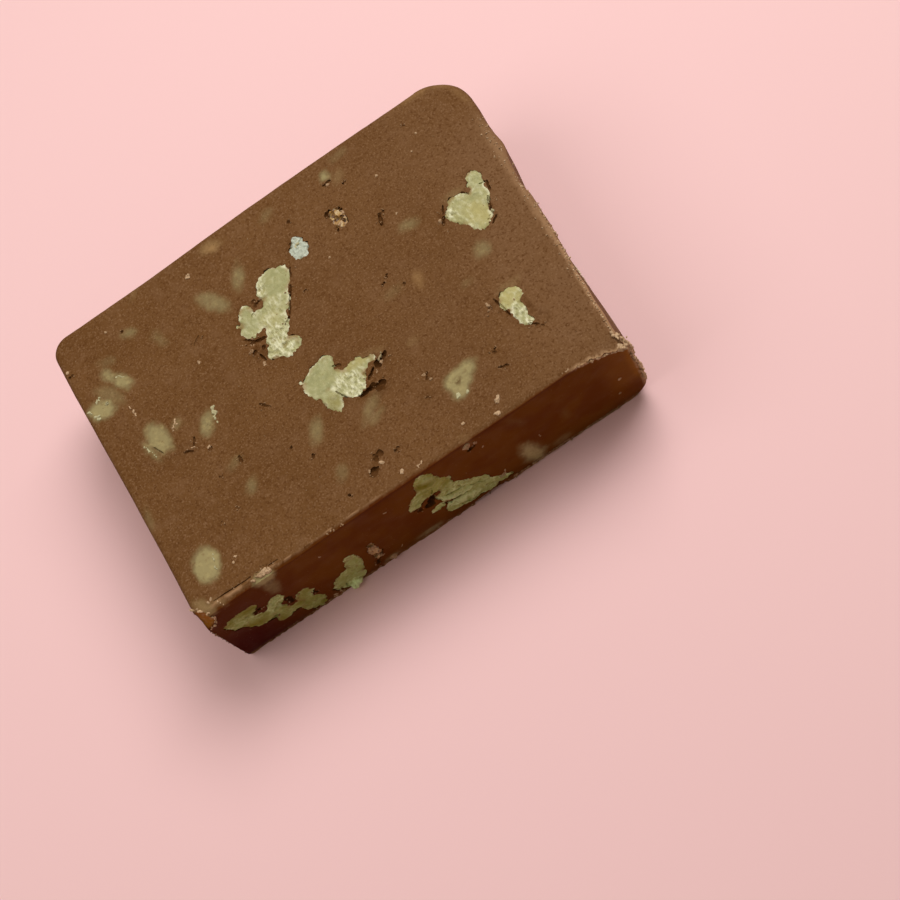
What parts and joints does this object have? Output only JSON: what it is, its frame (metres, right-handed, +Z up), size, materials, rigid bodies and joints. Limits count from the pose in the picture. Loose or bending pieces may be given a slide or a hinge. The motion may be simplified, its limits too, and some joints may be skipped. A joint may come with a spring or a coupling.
{
  "type": "toffee pecan fudge",
  "caption": "Hand-cut rectangular block of chocolate fudge with pecan pieces and toffee bits set in its faces, one cut side, rounded back corners and a chipped front corner.",
  "frame": {"origin": "middle of the flat base, at the bottom of the block", "axes": "+X along the long cut face, to the right seen from in front; +Y from the cut face to the back; +Z up"},
  "size_m": [0.0748, 0.0542, 0.0211],
  "materials": {
    "fudge": "soft satin milk chocolate fudge, darker and smoother on the cut face",
    "pecan": "matt pale pecan flesh with thin brown skin at its edges",
    "toffee": "satin tan butter toffee"
  },
  "bodies": {
    "root": {"fudge": "fudge", "pecan_crook": "pecan", "pecan_wing": "pecan", "pecan_heart": "pecan", "pecan_tooth": "pecan", "pecan_drop": "pecan", "pecan_egg": "pecan", "pecan_oval": "pecan", "pecan_crumb": "pecan", "pecan_bean": "pecan", "pecan_leaf": "pecan", "pecan_tuft": "pecan", "pecan_speck": "pecan", "toffee_nook": "toffee", "toffee_rear": "toffee", "pecan_ridge": "pecan", "pecan_fin": "pecan", "pecan_crag": "pecan", "toffee_seam": "toffee", "pecan_edge": "pecan", "pecan_right_front": "pecan", "pecan_right_back": "pecan", "pecan_back": "pecan", "pecan_back_small": "pecan", "pecan_left": "pecan", "toffee_left": "toffee", "pecan_base": "pecan", "pecan_base_small": "pecan"}
  },
  "joints": []
}
